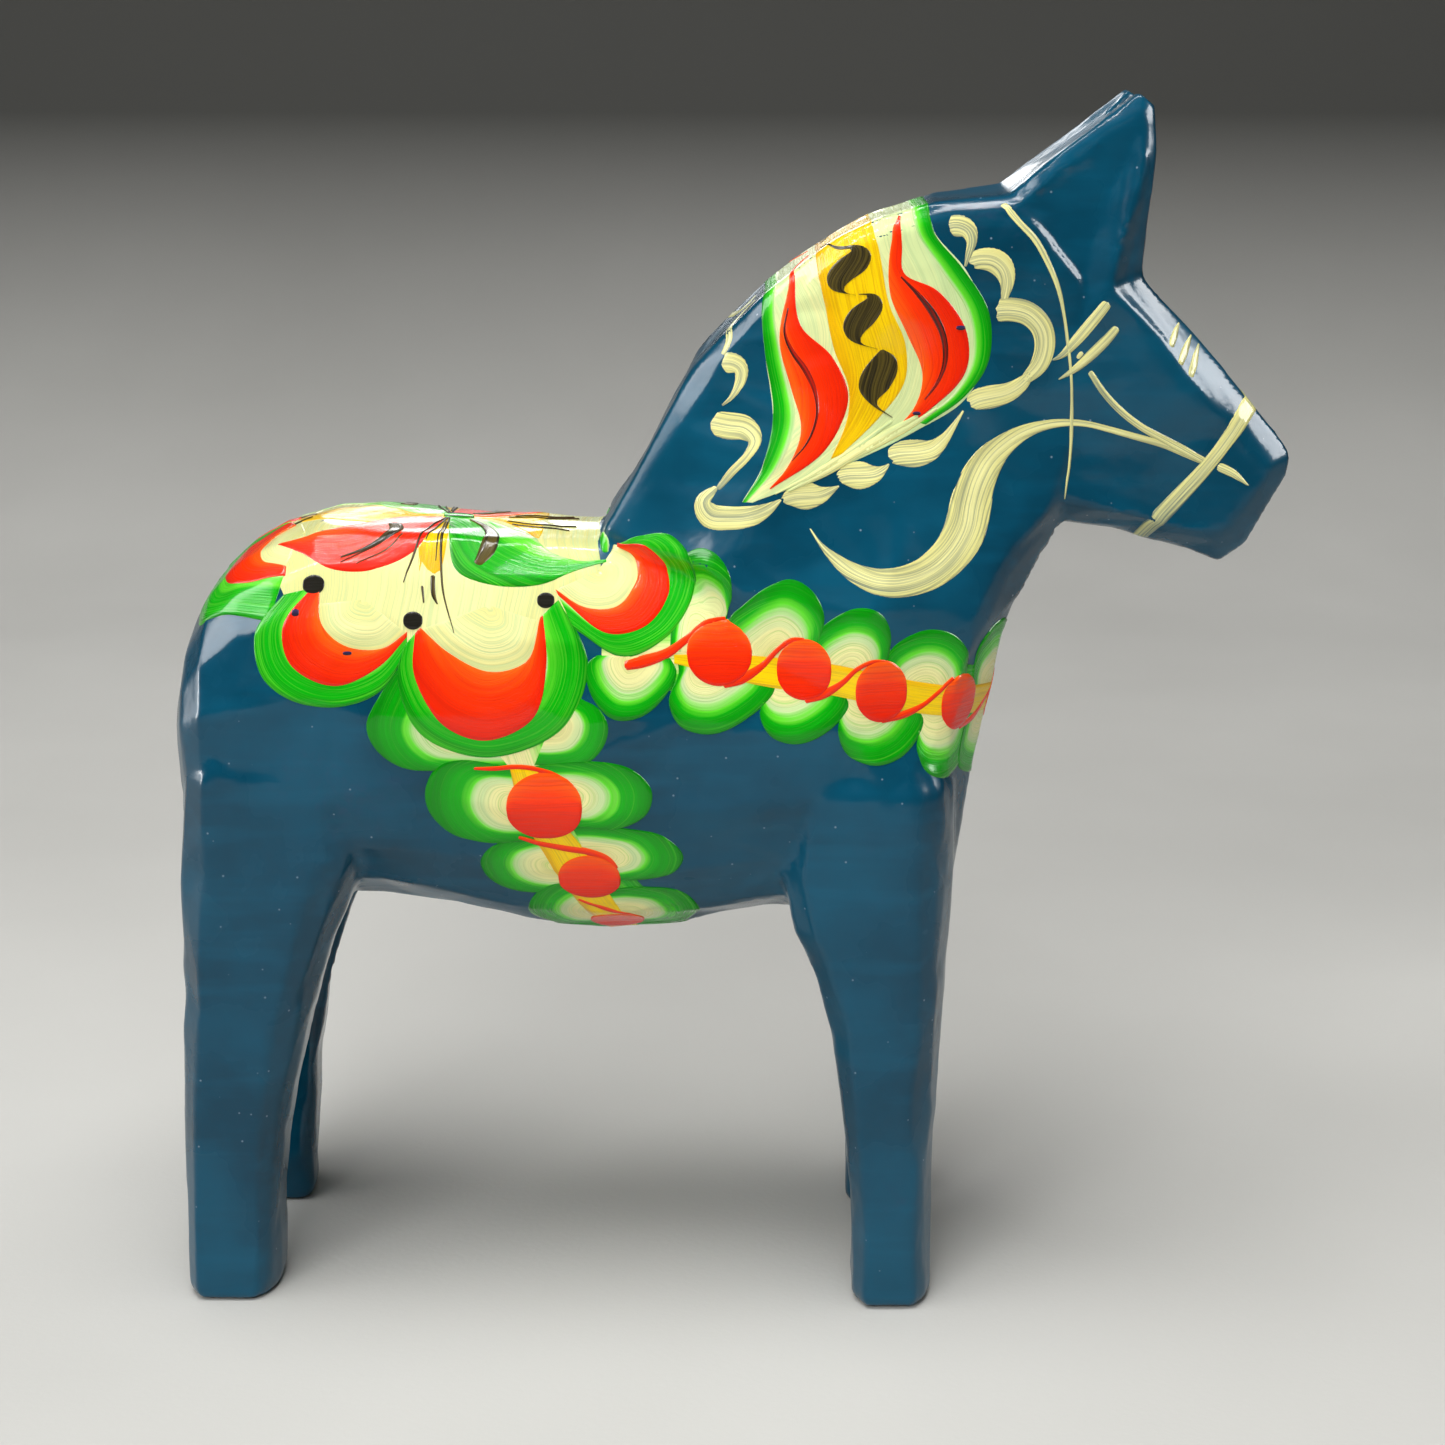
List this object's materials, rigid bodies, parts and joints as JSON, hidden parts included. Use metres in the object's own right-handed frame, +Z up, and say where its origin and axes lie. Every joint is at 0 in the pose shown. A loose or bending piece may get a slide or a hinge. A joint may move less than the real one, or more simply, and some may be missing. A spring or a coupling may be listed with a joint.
{
  "type": "painted wooden horse figure",
  "caption": "Stylised carved pine horse standing square on four legs, glued up from boards, with knife-cut facets, pricked ears and folk-painted harness and saddle flowers.",
  "frame": {"origin": "on the surface that the horse stands on, under the middle of its length and width", "axes": "+X from tail to nose, +Y to the horse's left, +Z up"},
  "size_m": [0.1836, 0.0592, 0.2],
  "materials": {
    "painted_pine": "petrol-blue oil paint under a thick gloss varnish"
  },
  "bodies": {
    "root": {"core_board": "painted_pine", "right_side_board": "painted_pine", "left_side_board": "painted_pine"}
  },
  "joints": []
}
